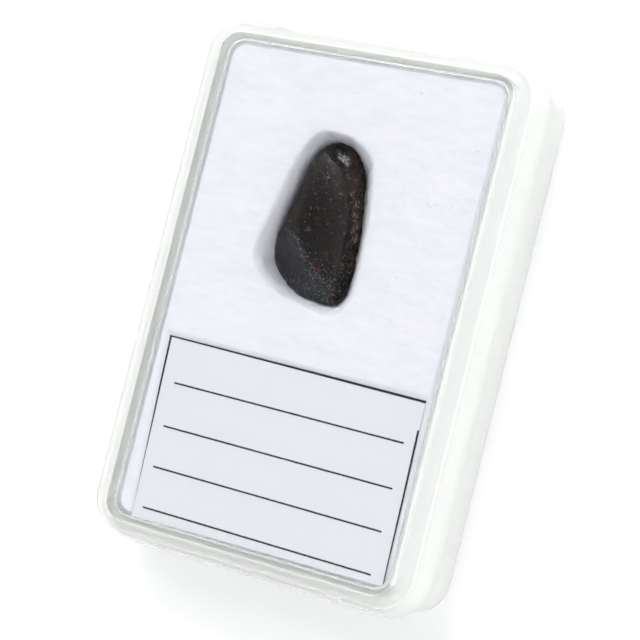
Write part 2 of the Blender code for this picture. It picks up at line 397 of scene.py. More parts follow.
def write_attribute(mesh, name, values):
    """One number for each point of a mesh, which a material or a node tree reads by name."""
    made = mesh.attributes.new(name, "FLOAT", "POINT")
    made.data.foreach_set("value", np.ascontiguousarray(values, dtype=np.float32))
    print(f"{name} on {mesh.name}: mean {float(np.mean(values)):.3f}")


# %% [markdown]
# ## The stone's marks
#
# A chondrite is a pudding of round grains. Where iron grains rusted the skin shows red and orange
# spots, and where desert lime stuck it is tan. The broken corner's blue grey and the pale line along
# its edge are painted reflections of the white surroundings; the dark line along the ridge and the
# black pits are painted shade. Each kind of mark is a number on every point of the mesh, so that the
# material can use it at any scale.

# %% Places of the marks
# Every spot has a place and a radius
RUST_SPOTS = (
    ((-1.36, 20.76, 9.0), 0.22), ((0.59, 17.07, 10.2), 0.3), ((1.82, 16.32, 8.2), 0.22),
    ((-0.15, 10.64, 11.0), 0.26), ((-5.51, 7.58, 10.0), 0.42), ((-5.71, 4.56, 8.5), 0.4),
    ((0.25, 6.7, 10.6), 0.36), ((-0.24, 4.68, 10.2), 0.46), ((1.19, 5.84, 10.2), 0.16),
    ((2.72, 7.56, 7.8), 0.32), ((-3.01, 2.67, 8.6), 0.25), ((1.7, 2.64, 9.0), 0.3),
)
OCHRE_SPOTS = (((0.54, 14.67, 10.7), 0.2), ((2.43, 5.95, 9.2), 0.22), ((-5.64, 9.92, 10.6), 0.16))
PINK_SPOTS = (((-2.7, 9.39, 11.1), 0.34), ((-4.33, 17.7, 10.65), 0.22), ((2.75, 6.2, 8.0), 0.45))
# The pits are not dented into the mesh: their black is painted shade
PITS = (
    ((0.6, 18.5, 9.4), 0.42), ((-1.0, 19.7, 9.7), 0.1), ((0.1, 19.0, 9.6), 0.12), ((-2.2, 20.9, 8.9), 0.12),
)
RED_STAINS = (
    ((-4.5, 11.0, 11.0), 0.8), ((-3.0, 11.1, 11.2), 0.6), ((2.9, 8.2, 7.9), 1.2), ((2.6, 17.0, 8.0), 1.0),
)
LIME_PATCHES = (
    ((1.66, 14.9, 9.7), 0.45), ((1.98, 13.9, 8.6), 0.7), ((2.33, 12.6, 9.2), 0.6),
    ((2.58, 11.4, 8.4), 0.75), ((2.52, 10.5, 9.0), 0.5), ((2.64, 9.6, 7.7), 0.7),
    ((2.45, 12.0, 8.9), 0.6), ((2.7, 8.9, 8.2), 0.5),
)
# The painted highlight along the broken corner's edge and the painted shade along the ridge reach
# this far to both sides, the highlight from above the foot on and the shade until short of the tip
LINE_HALF_WIDTH = 0.45
CREST_MARK_FOOT = 2.0
RIDGE_MARK_TOP = 16.8
RIDGE_MARK_FADE = 2.0
# How far fine and coarse relief pull a spot's edge in and out
SPOT_RAGGED = 0.9
SPOT_LUMPY = 0.4


def spots(places, softness=0.35):
    """How far each point lies in one of the spots, whose rims wander with the noise."""
    share = np.zeros(len(stone_points))
    for middle, radius in places:
        away = np.linalg.norm(stone_points - np.array(middle), axis=1)
        away = away * (1 + SPOT_RAGGED * fine_relief) + SPOT_LUMPY * coarse_relief * radius
        share = np.maximum(share, ease((radius * (1 + softness) - away) / (2 * softness * radius)))
    return share


write_attribute(stone_mesh, "corner_sheen", corner_sheen)
write_attribute(stone_mesh, "side_face", side_face)
write_attribute(stone_mesh, "foot", foot)
along_stone = stone_points[:, 1]
# A pale painted highlight along the broken corner's edge, where it would catch the white surroundings
painted_crest_highlight = ease(1 - from_crest / LINE_HALF_WIDTH) * ease(along_stone - CREST_MARK_FOOT)
write_attribute(stone_mesh, "crest_highlight", painted_crest_highlight)
# Painted shade: a dark line along the ridge, where the front turns away into the rough side
on_ridge = ease(1 - np.abs(from_ridge - RIDGE_STEP) / LINE_HALF_WIDTH)
on_ridge = on_ridge * ease((RIDGE_MARK_TOP - along_stone) / RIDGE_MARK_FADE)
write_attribute(stone_mesh, "ridge_shade", on_ridge)
write_attribute(stone_mesh, "rust", spots(RUST_SPOTS))
write_attribute(stone_mesh, "ochre", spots(OCHRE_SPOTS))
write_attribute(stone_mesh, "pink", spots(PINK_SPOTS))
write_attribute(stone_mesh, "pit_shade", spots(PITS, softness=0.5))
write_attribute(stone_mesh, "tip", on_tip)
write_attribute(stone_mesh, "red_stain", spots(RED_STAINS, softness=0.9))
write_attribute(stone_mesh, "lime", spots(LIME_PATCHES, softness=0.6) * side_face)

# %% [markdown]
# ## The stone's finish
#
# The material starts from a satin black-brown crust. Broad noises mottle it brown, reddish and
# blue black, fine noise gives it grain, and the marks are laid over it one after the other. The
# crust is smoother on the front than on the side and smoothest at the tip, so the roughness
# follows the same masks.

# %% Weathered crust material
# Fusion crust, weathered and worn by sand: nearly black, satin, and never of one even colour
crust, tree, shader = new_finish("weathered_chondrite_crust", IOR=1.5, Specular_IOR_Level=0.3)
place = add(tree, "ShaderNodeTexCoord", out="Object")
mottle = add(tree, "ShaderNodeTexNoise", {
    "Vector": place, "Scale": per_metre(1.6), "Detail": 5.0, "Roughness": 0.65})
grain = add(tree, "ShaderNodeTexNoise", {
    "Vector": place, "Scale": per_metre(0.22), "Detail": 3.0, "Roughness": 0.6})
grains = add(tree, "ShaderNodeTexVoronoi", {"Vector": place, "Scale": per_metre(0.55)}, out="Color")
grain_shade = add(tree, "ShaderNodeSeparateColor", {"Color": grains}, out="Red")
patches = add(tree, "ShaderNodeTexNoise", {
    "Vector": place, "Scale": per_metre(0.7), "Detail": 4.0, "Roughness": 0.7})
clouds = add(tree, "ShaderNodeTexNoise", {"Vector": place, "Scale": per_metre(2.6), "Detail": 3.0})

colour = hex_colour("#110b0b")
# Each layer: the noise it follows and the range in which it grows, its colour and how much of it
LAYERS = (
    (mottle, (0.44, 0.62), "#1f1412", 0.75),  # brown mottle
    (clouds, (0.50, 0.36), "#14171b", 0.8),  # blue-black clouds
    (patches, (0.54, 0.68), "#331f1a", 0.35),  # reddish patches
    (grain, (0.54, 0.70), "#463935", 0.42),  # pale grain
    (grain, (0.46, 0.36), "#070505", 0.9),  # dark grain
    (grain_shade, (0.88, 0.98), "#3b302b", 0.35),  # single grains
)
for mask, (low, high), code, amount in LAYERS:
    share = add(tree, "ShaderNodeMapRange", {
        "Value": mask, "From Min": low, "From Max": high, "To Max": amount})
    colour = add(tree, "ShaderNodeMix", {
        "Factor": share, "A": colour, "B": hex_colour(code)}, data_type="RGBA")

# Marks: attribute, colour, how much of it, and how far the fine grain breaks it up
MARKS = (
    # painted reflection: a blue-grey sheen of the white surroundings on the broken corner
    ("corner_sheen", "#2f323a", 0.75, 0.55),
    ("side_face", "#3d2c27", 0.75, 0.6),
    ("foot", "#4d4f47", 0.45, 1.3),
    # painted shade along the ridge
    ("ridge_shade", "#090706", 0.8, 0.3),
    # painted shade in the pits
    ("pit_shade", "#050404", 0.95, 0.1),
    ("red_stain", "#34191a", 0.45, 0.8),
    ("lime", "#8d7c66", 0.95, 1.3),
    ("pink", "#6a5450", 0.6, 0.9),
    ("ochre", "#836a3c", 0.7, 0.9),
    ("rust", "#6a3022", 0.7, 1.25),
    # painted highlight along the broken corner's edge
    ("crest_highlight", "#858d98", 0.6, 2.1),
)
for name, code, amount, broken in MARKS:
    mark = add(tree, "ShaderNodeAttribute", attribute_name=name, out="Fac")
    gaps = add(tree, "ShaderNodeMapRange", {
        "Value": grain, "From Min": 0.35, "From Max": 0.65, "To Min": -broken, "To Max": 0.0})
    kept = add(tree, "ShaderNodeMath", {0: mark, 1: gaps}, operation="ADD")
    share = add(tree, "ShaderNodeMapRange", {
        "Value": kept, "From Min": 0.0, "From Max": 0.8, "To Max": amount})
    colour = add(tree, "ShaderNodeMix", {
        "Factor": share, "A": colour, "B": hex_colour(code)}, data_type="RGBA")

side_mask = add(tree, "ShaderNodeAttribute", attribute_name="side_face", out="Fac")
roughness = add(tree, "ShaderNodeMapRange", {"Value": side_mask, "To Min": 0.33, "To Max": 0.7})
uneven = add(tree, "ShaderNodeMapRange", {
    "Value": grain, "From Min": 0.3, "From Max": 0.7, "To Min": -0.08, "To Max": 0.12})
roughness = add(tree, "ShaderNodeMath", {0: roughness, 1: uneven}, operation="ADD")
tip_mask = add(tree, "ShaderNodeAttribute", attribute_name="tip", out="Fac")
polish = add(tree, "ShaderNodeMapRange", {"Value": tip_mask, "To Min": 0.0, "To Max": 0.17})
roughness = add(tree, "ShaderNodeMath", {0: roughness, 1: polish}, operation="SUBTRACT")
relief = add(tree, "ShaderNodeBump", {"Height": grain, "Distance": 0.035 * MM, "Strength": 0.7})
set_inputs(tree, shader, {"Base Color": colour, "Roughness": roughness, "Normal": relief})
stone_mesh.materials.clear()
stone_mesh.materials.append(crust)
print(f"{crust.name}: {len(tree.nodes)} nodes")

# %% [markdown]
# ## Cotton wadding
#
# The pad is carded cotton, pressed flat by the window and hollowed where the stone sinks into it.
# Its upper surface is a height field: a crowned edge, the hollow, a flat bed for the label and the
# faint rolls of the wadding. Where the stone lies over it, a ray cast upwards finds the stone's
# underside and the cotton stays below that.

# %% Cotton sizes
PAD_LOW, PAD_HIGH = (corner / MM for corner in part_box("cotton_pad"))
PAD_MARGIN = 0.1
PAD_HALF_X = PAD_HIGH.x - PAD_MARGIN
PAD_HALF_Y = PAD_HIGH.y - PAD_MARGIN
PAD_CORNER = 3.0
PAD_CELL = 0.21
PAD_TOP = 11.56
# Under the lid's ledge the wadding is pressed lower than under the window
PAD_UNDER_LEDGE = 10.75
PAD_EDGE = 9.9
PAD_SHOULDER = 0.7
# The window's inside: half width, half length and corner radius, and the step at its edge
PRESSED_OUTLINE = (19.95, 31.85, 2.3)
PRESSED_STEP = 0.5
# The wadding never comes nearer to the window than this height
PAD_CEILING = 11.85
BED_UNDER_STONE = 0.12
# The hollow's depth and the slope of its bank at the stone's ends, on its right and on its left:
# the stone was pushed in from the right, where the wadding gave way furthest
HOLLOW_ENDS = (3.9, 5.5)
HOLLOW_RIGHT = (5.4, 1.9)
HOLLOW_LEFT = (1.5, 1.9)
HOLLOW_ROUNDING = 0.18
# How soon the bank turns from its form at the ends to its form at the sides
HOLLOW_TURN = 1.15
STONE_MIDDLE = Vector((-2.2, 10.5))
STONE_SLENDERNESS = 2
STONE_WAIST = 6.9
# The rays that look for the stone's underside start here
RAY_START = -5
# Hairs grow on the cotton that lies this near to the stone
HAIR_REACH = 0.8
# Unevenness of the wadding: how long its features are across and along the case, a seed, a height
WADDING_LAYERS = (
    (7.0, 2.6, 3.1, 0.09),  # rolls
    (2.2, 0.9, 7.7, 0.035),  # tufts
    (0.9, 0.5, 1.2, 0.01),  # down
)
UNEVEN_FADE = 1.6
# Fluff starts this far inside the window's edge and outside the label's, and fades in from there
FLUFF_IN_WINDOW = 0.4
FLUFF_WINDOW_FADE = 0.8
FLUFF_BESIDE_LABEL = -0.2
FLUFF_LABEL_FADE = 0.4

LABEL_TOP_Z = 11.54
LABEL_THICK = 0.12
LABEL_BED = 0.05
# The wadding rises to its full height this far beside the label
LABEL_SHOULDER = 0.7
PAPER_WAVES = ((9.0, 12.0, 0.4, 0.06), (4.0, 5.0, 5.0, 0.025))
# The label's corners, as it was cut: top left, top right, bottom right, bottom left
LABEL_CORNERS = ((-18.25, -7.9), (18.95, -8.25), (19.35, -31.45), (-17.15, -31.85))

stone_tree = BVHTree.FromPolygons(
    [tuple(point) for point in stone_points],
    [tuple(face.vertices) for face in stone_mesh.polygons],
)


def inside_edge(x, y, half_x, half_y, corner):
    """Distance inwards from a rounded rectangle."""
    over_x = abs(x) - (half_x - corner)
    over_y = abs(y) - (half_y - corner)
    outside = math.hypot(max(over_x, 0), max(over_y, 0)) + min(max(over_x, over_y), 0)
    return corner - outside


def onto_outline(x, y):
    """Draws a point of the square grid in to the rounded corner."""
    over_x = abs(x) - (PAD_HALF_X - PAD_CORNER)
    over_y = abs(y) - (PAD_HALF_Y - PAD_CORNER)
    if over_x > 0 and over_y > 0:
        reach = math.hypot(over_x, over_y)
        furthest = max(over_x, over_y)
        x = math.copysign(PAD_HALF_X - PAD_CORNER + over_x * furthest / reach, x)
        y = math.copysign(PAD_HALF_Y - PAD_CORNER + over_y * furthest / reach, y)
    return x, y


def label_distance(x, y):
    """Distance outside the label's four sides, negative inside it."""
    furthest = -math.inf
    for index, start in enumerate(LABEL_CORNERS):
        end = LABEL_CORNERS[(index + 1) % 4]
        run_x, run_y = end[0] - start[0], end[1] - start[1]
        length = math.hypot(run_x, run_y)
        furthest = max(furthest, ((x - start[0]) * -run_y + (y - start[1]) * run_x) / length)
    return furthest


def waves(x, y, layers):
    """Height of the waves at a place, summed over layers of noise."""
    return sum(noise.noise(Vector((x / across, y / along, seed))) * size
               for across, along, seed, size in layers)


def cotton_surface(x, y):
    """Height of the cotton, how open it lies to view, and how close it comes to the stone."""
    share = min(max(inside_edge(x, y, PAD_HALF_X, PAD_HALF_Y, PAD_CORNER) / PAD_SHOULDER, 0), 1)
    height = PAD_EDGE + (PAD_UNDER_LEDGE - PAD_EDGE) * math.sqrt(1 - (1 - share) ** 2)
    inside_window = inside_edge(x, y, *PRESSED_OUTLINE)
    height += (PAD_TOP - PAD_UNDER_LEDGE) * float(ease(inside_window / PRESSED_STEP))
    hit, _, _, _ = stone_tree.ray_cast(Vector((x, y, RAY_START)), Vector((0, 0, 1)))
    away = 0.0 if hit else stone_tree.find_nearest(Vector((x, y, STONE_WAIST)))[3]
    outwards = Vector((x - STONE_MIDDLE.x, (y - STONE_MIDDLE.y) / STONE_SLENDERNESS)).normalized()
    sideways = HOLLOW_RIGHT if outwards.x > 0 else HOLLOW_LEFT
    side = float(ease(abs(outwards.x) * HOLLOW_TURN))
    depth, slope = (end + (flank - end) * side for end, flank in zip(HOLLOW_ENDS, sideways))
    drop = depth - slope * away
    height -= (drop + math.sqrt(drop * drop + HOLLOW_ROUNDING)) / 2
    height += waves(x, y, WADDING_LAYERS) * float(ease(inside_window / UNEVEN_FADE))
    if hit:
        return min(height, hit.z - BED_UNDER_STONE), 0.0, 0.0
    under_label = LABEL_TOP_Z - LABEL_THICK - LABEL_BED + waves(x, y, PAPER_WAVES)
    outside = label_distance(x, y)
    if height > under_label:
        height = under_label + (height - under_label) * float(ease(outside / LABEL_SHOULDER))
    is_open = float(ease((inside_window - FLUFF_IN_WINDOW) / FLUFF_WINDOW_FADE))
    is_open *= float(ease((outside - FLUFF_BESIDE_LABEL) / FLUFF_LABEL_FADE))
    return min(height, PAD_CEILING), is_open, math.exp(-((away / HAIR_REACH) ** 2))


# %% Cotton pad mesh
columns = round(2 * PAD_HALF_X / PAD_CELL)
rows = round(2 * PAD_HALF_Y / PAD_CELL)
pad_shape = bmesh.new()
openness = []
closeness = []
top_grid = []
for row in range(rows + 1):
    line = []
    for column in range(columns + 1):
        across = -PAD_HALF_X + column * 2 * PAD_HALF_X / columns
        along = -PAD_HALF_Y + row * 2 * PAD_HALF_Y / rows
        x, y = onto_outline(across, along)
        z, is_open, is_close = cotton_surface(x, y)
        line.append(pad_shape.verts.new((x, y, z)))
        openness.append(is_open)
        closeness.append(is_close)
    top_grid.append(line)
for low, high in zip(top_grid, top_grid[1:]):
    for column in range(columns):
        pad_shape.faces.new((low[column], low[column + 1], high[column + 1], high[column]))


def border_of(grid):
    """The outer points of a grid, anticlockwise."""
    ring = grid[0][:]
    ring += [line[-1] for line in grid[1:]]
    ring += grid[-1][-2::-1]
    ring += [line[0] for line in grid[-2:0:-1]]
    return ring


# %% Sides of the pad
SIDE_ROWS = 22
# Below the base's inner lip the wadding swells out towards the wall, and it narrows to the floor
SIDE_SWELL = 0.9
SWELL_TOP = 6.2
SWELL_FADE_TOP = 1.6
SWELL_FADE_FOOT = 1.2
# A side this far from the middle moves out by the swell itself, one further out by more
SWELL_DISTANCE = 21
SIDE_WAVE = 0.03
SIDE_WAVE_LONG = 2.5
SIDE_WAVE_HIGH = 1.4

upper_ring = border_of(top_grid)
side_top = [vert.co.copy() for vert in upper_ring]
previous = upper_ring
for step in range(1, SIDE_ROWS + 1):
    share = step / SIDE_ROWS
    ring = []
    for top in side_top:
        z = top.z + (PAD_LOW.z - top.z) * share
        swell = SIDE_SWELL * float(
            ease((SWELL_TOP - z) / SWELL_FADE_TOP) * ease((z - PAD_LOW.z) / SWELL_FADE_FOOT))
        wave = SIDE_WAVE * noise.noise(
            Vector((top.x / SIDE_WAVE_LONG, top.y / SIDE_WAVE_LONG, z / SIDE_WAVE_HIGH)))
        outward = 1 + (swell + wave) / SWELL_DISTANCE
        ring.append(pad_shape.verts.new((top.x * outward, top.y * outward, z)))
        openness.append(0.0)
        closeness.append(0.0)
    for index in range(len(ring)):
        following = (index + 1) % len(ring)
        pad_shape.faces.new((previous[index], ring[index], ring[following], previous[following]))
    previous = ring
pad_shape.faces.new(previous)
bmesh.ops.recalc_face_normals(pad_shape, faces=pad_shape.faces)
pad = add_piece("cotton_wadding", pad_shape)
write_attribute(pad.data, "open_cotton", np.array(openness))
write_attribute(pad.data, "by_the_stone", np.array(closeness))

# %% [markdown]
# ## Cotton's finish
#
# Cotton fibres scatter nearly all the light, so the finish is matt and almost white. Two noises
# drawn out along the carding direction stand for the strands: the broad one lets the white change
# from cool to a trace of violet, and the fine one makes the relief and greys the thin places.

# %% Carded cotton material
# Carded cotton, bleached: matt, soft and nearly white, with a silky sheen at grazing angles
cotton, tree, shader = new_finish(
    "carded_cotton", Roughness=1.0, Sheen_Weight=0.25, Sheen_Roughness=0.5)
place = add(tree, "ShaderNodeTexCoord", out="Object")
carded = add(tree, "ShaderNodeMapping", {
    "Vector": place, "Rotation": (0.0, 0.0, 0.12), "Scale": (0.35, 1.0, 1.0)})
strands = add(tree, "ShaderNodeTexNoise", {
    "Vector": carded, "Scale": per_metre(0.7), "Detail": 4.0, "Roughness": 0.65})
clouds = add(tree, "ShaderNodeTexNoise", {"Vector": carded, "Scale": per_metre(2.2), "Detail": 3.0})
clouds = add(tree, "ShaderNodeMapRange", {"Value": clouds, "From Min": 0.35, "From Max": 0.65})
colour = add(tree, "ShaderNodeMix", {
    "Factor": clouds, "A": hex_colour("#e1e5e9"), "B": hex_colour("#e7e6ed")}, data_type="RGBA")
thin = add(tree, "ShaderNodeMapRange", {
    "Value": strands, "From Min": 0.3, "From Max": 0.62, "To Min": 0.22, "To Max": 0.0})
colour = add(tree, "ShaderNodeMix", {
    "Factor": thin, "A": colour, "B": hex_colour("#c2c7d2")}, data_type="RGBA")
relief = add(tree, "ShaderNodeBump", {"Height": strands, "Distance": 0.06 * MM, "Strength": 0.6})
set_inputs(tree, shader, {"Base Color": colour, "Normal": relief})
pad.data.materials.append(cotton)
print(f"{cotton.name}: {len(tree.nodes)} nodes")

# %% [markdown]
# ## Fibres by Geometry Nodes
#
# Loose fibres repeat by the thousand, so a node tree makes them: points are scattered on a surface,
# each gets one short bent strand, turned at random, and a noise bends every strand its own way.
# The same tree makes the fluff on the cotton and the lint that clings to the stone. Real fibres are
# about a fiftieth of a millimetre thick, and so are these; only the dust is drawn thicker, or it
# wouldn't show.


# %% Fibre node tree
FIBRE_STEPS = 5
FIBRE_SIDES = 3
# A fibre tilts by up to this much from its surface, in radians, and is bent by this share of itself
FIBRE_TILT = 0.22
FIBRE_BEND = 0.35
# The smallest and the largest share of the given length, bow and lift that a fibre gets
FIBRE_SMALLEST = (0.4, 0.2, 0.8)
FIBRE_LARGEST = (1.5, 2.0, 1.2)


def fibre_tree():
    """A node tree that covers a surface with short bent strands."""
    made = bpy.data.node_groups.new("loose_fibres", "GeometryNodeTree")
    sockets = made.interface
    sockets.new_socket("Geometry", in_out="INPUT", socket_type="NodeSocketGeometry")
    for name, kind in (
        ("Fibres per square metre", "NodeSocketFloat"), ("Length", "NodeSocketFloat"),
        ("Thickness", "NodeSocketFloat"), ("Curl", "NodeSocketFloat"), ("Lift", "NodeSocketFloat"),
        ("Seed", "NodeSocketInt"), ("Where", "NodeSocketString"), ("Material", "NodeSocketMaterial"),
    ):
        sockets.new_socket(name, in_out="INPUT", socket_type=kind)
    sockets.new_socket("Geometry", in_out="OUTPUT", socket_type="NodeSocketGeometry")
    given = made.nodes.new("NodeGroupInput").outputs
    result = made.nodes.new("NodeGroupOutput")

    where = add(made, "GeometryNodeInputNamedAttribute", {"Name": given["Where"]}, data_type="FLOAT")
    density = add(made, "ShaderNodeMath", {
        0: given["Fibres per square metre"], 1: where}, operation="MULTIPLY")
    scatter = made.nodes.new("GeometryNodeDistributePointsOnFaces")
    set_inputs(made, scatter, {"Mesh": given["Geometry"], "Density": density, "Seed": given["Seed"]})

    half = add(made, "ShaderNodeMath", {0: given["Length"], 1: 0.5}, operation="MULTIPLY")
    back = add(made, "ShaderNodeMath", {0: given["Length"], 1: -0.5}, operation="MULTIPLY")
    bow = add(made, "ShaderNodeMath", {0: given["Length"], 1: given["Curl"]}, operation="MULTIPLY")
    start = add(made, "ShaderNodeCombineXYZ", {"X": back})
    middle = add(made, "ShaderNodeCombineXYZ", {"Y": bow, "Z": given["Lift"]})
    end = add(made, "ShaderNodeCombineXYZ", {"X": half})
    line = add(made, "GeometryNodeCurveQuadraticBezier", {
        "Resolution": FIBRE_STEPS, "Start": start, "Middle": middle, "End": end})
    radius = add(made, "ShaderNodeMath", {0: given["Thickness"], 1: 0.5}, operation="MULTIPLY")
    round_profile = add(made, "GeometryNodeCurvePrimitiveCircle", {
        "Resolution": FIBRE_SIDES, "Radius": radius})
    strand = add(made, "GeometryNodeCurveToMesh", {
        "Curve": line, "Profile Curve": round_profile, "Fill Caps": True})

    angle = add(made, "FunctionNodeRandomValue", {
        "Min": 0.0, "Max": 2 * math.pi, "Seed": 11}, data_type="FLOAT")
    spin = add(made, "FunctionNodeAxisAngleToRotation", {"Axis": (0.0, 0.0, 1.0), "Angle": angle})
    tilt_angle = add(made, "FunctionNodeRandomValue", {
        "Min": -FIBRE_TILT, "Max": FIBRE_TILT, "Seed": 12}, data_type="FLOAT")
    tilt = add(made, "FunctionNodeAxisAngleToRotation", {"Axis": (0.0, 1.0, 0.0), "Angle": tilt_angle})
    turned = add(made, "FunctionNodeRotateRotation", {
        "Rotation": scatter.outputs["Rotation"], "Rotate By": spin}, rotation_space="LOCAL")
    turned = add(made, "FunctionNodeRotateRotation", {
        "Rotation": turned, "Rotate By": tilt}, rotation_space="LOCAL")
    size = add(made, "FunctionNodeRandomValue", {
        "Min": FIBRE_SMALLEST, "Max": FIBRE_LARGEST, "Seed": 13}, data_type="FLOAT_VECTOR")
    strands = add(made, "GeometryNodeInstanceOnPoints", {
        "Points": scatter.outputs["Points"], "Instance": strand, "Rotation": turned, "Scale": size})
    strands = add(made, "GeometryNodeRealizeInstances", {"Geometry": strands})

    here = add(made, "GeometryNodeInputPosition")
    bends = add(made, "ShaderNodeTexNoise", {
        "Vector": here, "Scale": per_metre(0.7), "Detail": 1.0}, out="Color")
    centred = add(made, "ShaderNodeVectorMath", {0: bends, 1: (-0.5, -0.5, -0.5)}, operation="ADD")
    amount = add(made, "ShaderNodeMath", {0: given["Length"], 1: FIBRE_BEND}, operation="MULTIPLY")
    offset = add(made, "ShaderNodeVectorMath", {0: centred, "Scale": amount}, operation="SCALE")
    strands = add(made, "GeometryNodeSetPosition", {"Geometry": strands, "Offset": offset})
    strands = add(made, "GeometryNodeSetMaterial", {"Geometry": strands, "Material": given["Material"]})
    made.links.new(strands, result.inputs["Geometry"])
    return made


loose_fibres = fibre_tree()
print(f"{loose_fibres.name}: {len(loose_fibres.nodes)} nodes")


def grow_fibres(name, surface, **inputs):
    """Runs the fibre tree on a copy of a surface and keeps the result as a plain mesh."""
    holder = bpy.data.objects.new(name, surface.data.copy())
    scene.collection.objects.link(holder)
    modifier = holder.modifiers.new("fibres", "NODES")
    modifier.node_group = loose_fibres
    identifiers = {
        item.name: item.identifier for item in loose_fibres.interface.items_tree if item.in_out == "INPUT"
    }
    for key, value in inputs.items():
        modifier[identifiers[key.replace("_", " ")]] = value
    grown = bpy.data.meshes.new_from_object(holder.evaluated_get(bpy.context.evaluated_depsgraph_get()))
    bpy.data.objects.remove(holder)
    grown.name = name
    grown.shade_smooth()
    piece = bpy.data.objects.new(name, grown)
    scene.collection.objects.link(piece)
    grown.calc_loop_triangles()
    print(f"{name}: {len(grown.loop_triangles)} triangles")
    return piece


# %% Fluff on the cotton
fluff = grow_fibres(
    "cotton_fluff", pad, Fibres_per_square_metre=1.3e6, Length=0.8 * MM, Thickness=0.018 * MM,
    Curl=0.3, Lift=0.04 * MM, Seed=5, Where="open_cotton", Material=cotton,
)
strays = grow_fibres(
    "cotton_strands", pad, Fibres_per_square_metre=0.12e6, Length=1.9 * MM, Thickness=0.02 * MM,
    Curl=0.22, Lift=0.06 * MM, Seed=8, Where="open_cotton", Material=cotton,
)

# Where the stone sinks in, the torn edge of the wadding sends hairs over its flanks
hairs = grow_fibres(
    "stone_rim_hairs", pad, Fibres_per_square_metre=1.1e7, Length=1.5 * MM, Thickness=0.018 * MM,
    Curl=0.35, Lift=0.3 * MM, Seed=31, Where="by_the_stone", Material=cotton,
)

# A few darker fibres and specks of dust always land on white cotton: matt grey, with a blue cast
dust_finish, _, _ = new_finish("grey_dust_fibre", Base_Color=hex_colour("#6d7080"), Roughness=0.9)
dust = grow_fibres(
    "cotton_dust", pad, Fibres_per_square_metre=9000.0, Length=0.3 * MM, Thickness=0.035 * MM,
    Curl=0.5, Lift=0.02 * MM, Seed=3, Where="open_cotton", Material=dust_finish,
)

# %% Lint on the stone
# Places where lint clings: middle, radius and how much of it
LINT_PLACES = (
    ((-1.9, 15.8, 11.1), 0.3, 3.0), ((-1.75, 16.5, 11.0), 0.3, 3.0), ((-1.6, 17.1, 10.9), 0.3, 2.5),
    ((-2.9, 14.3, 11.2), 0.4, 3.0), ((-2.6, 13.5, 11.2), 0.3, 3.0), ((-3.0, 12.2, 11.2), 0.4, 2.0),
    ((-4.4, 18.6, 10.4), 1.6, 0.5), ((-3.4, 7.4, 10.8), 1.1, 0.9), ((-2.2, 5.6, 10.5), 1.1, 1.0),
    ((-0.7, 4.5, 10.2), 1.2, 1.0), ((1.0, 2.0, 9.0), 2.2, 1.7), ((-3.4, 1.8, 8.6), 2.0, 0.9),
    ((1.0, 18.0, 9.8), 1.6, 0.6), ((2.2, 13.0, 8.6), 1.6, 0.5), ((2.8, 5.0, 8.6), 1.8, 0.7),
)
LINT_EVERYWHERE = 0.12
# Hairs of the torn wadding cling to the steep flanks: how much, and how upright a flank has to be
LINT_ON_FLANKS = 1.3
FLANK_UPRIGHT = 0.5
FLANK_FADE = 0.35
# Lint lies only on what stands out of the wadding
LINT_FOOT = 4.8
LINT_FOOT_FADE = 0.8

lint_share = np.full(len(stone_points), LINT_EVERYWHERE)
for middle, radius, amount in LINT_PLACES:
    away = np.linalg.norm(stone_points - np.array(middle), axis=1)
    lint_share += amount * np.exp(-(away / radius) ** 2)
lint_share += LINT_ON_FLANKS * ease((FLANK_UPRIGHT - np.abs(stone_normals[:, 2])) / FLANK_FADE)
lint_share *= ease((stone_points[:, 2] - LINT_FOOT) / LINT_FOOT_FADE) * (1 - on_tip)
write_attribute(stone_mesh, "lint", lint_share)
# The same cotton, but single fibres let the dark stone through, so they look light grey
lint_finish, _, _ = new_finish("cotton_lint", Base_Color=hex_colour("#b4b8bf"), Roughness=0.9)
lint = grow_fibres(
    "stone_lint", stone, Fibres_per_square_metre=4.5e6, Length=0.36 * MM, Thickness=0.015 * MM,
    Curl=0.25, Lift=0.015 * MM, Seed=21, Where="lint", Material=lint_finish,
)

# %% [markdown]
# ## The label
#
# A slip of printer paper with a ruled table, cut out a little askew with scissors: the cut runs
# through the printed border, so the border is a hairline at one end and full width at the other.
# The rows stay bare. The sheet waves slightly on the soft cotton.

# %% Label mesh
LABEL_COLUMNS = 90
LABEL_ROWS = 60


def label_point(across, up):
    """A place on the label, from its four cut corners: across and up run from 0 to 1."""
    top_left, top_right, bottom_right, bottom_left = (Vector(corner) for corner in LABEL_CORNERS)
    top = top_left.lerp(top_right, across)
    bottom = bottom_left.lerp(bottom_right, across)
    return bottom.lerp(top, up)


label_shape = bmesh.new()
sheets = []
for thickness in (0.0, LABEL_THICK):
    grid = []
    for row in range(LABEL_ROWS + 1):
        line = []
        for column in range(LABEL_COLUMNS + 1):
            flat = label_point(column / LABEL_COLUMNS, row / LABEL_ROWS)
            z = LABEL_TOP_Z - LABEL_THICK + thickness + waves(flat.x, flat.y, PAPER_WAVES)
            line.append(label_shape.verts.new((flat.x, flat.y, z)))
        grid.append(line)
    sheets.append(grid)
for under, grid in zip((True, False), sheets):
    for low, high in zip(grid, grid[1:]):
        for column in range(LABEL_COLUMNS):
            corners = (low[column], low[column + 1], high[column + 1], high[column])
            label_shape.faces.new(corners[::-1] if under else corners)
lower_ring, upper_ring = (border_of(grid) for grid in sheets)
for index in range(len(lower_ring)):
    following = (index + 1) % len(lower_ring)
    corners = (lower_ring[index], lower_ring[following], upper_ring[following], upper_ring[index])
    label_shape.faces.new(corners)
label = add_piece("label_slip", label_shape, sharp_angle=50)

# %% [markdown]
# ## The label's finish
#
# Uncoated paper is a felt of short fibres, so it is matt with a faint tooth. The ruled lines are
# toner: they are worked out in the material from the place on the paper, as a ruler would.

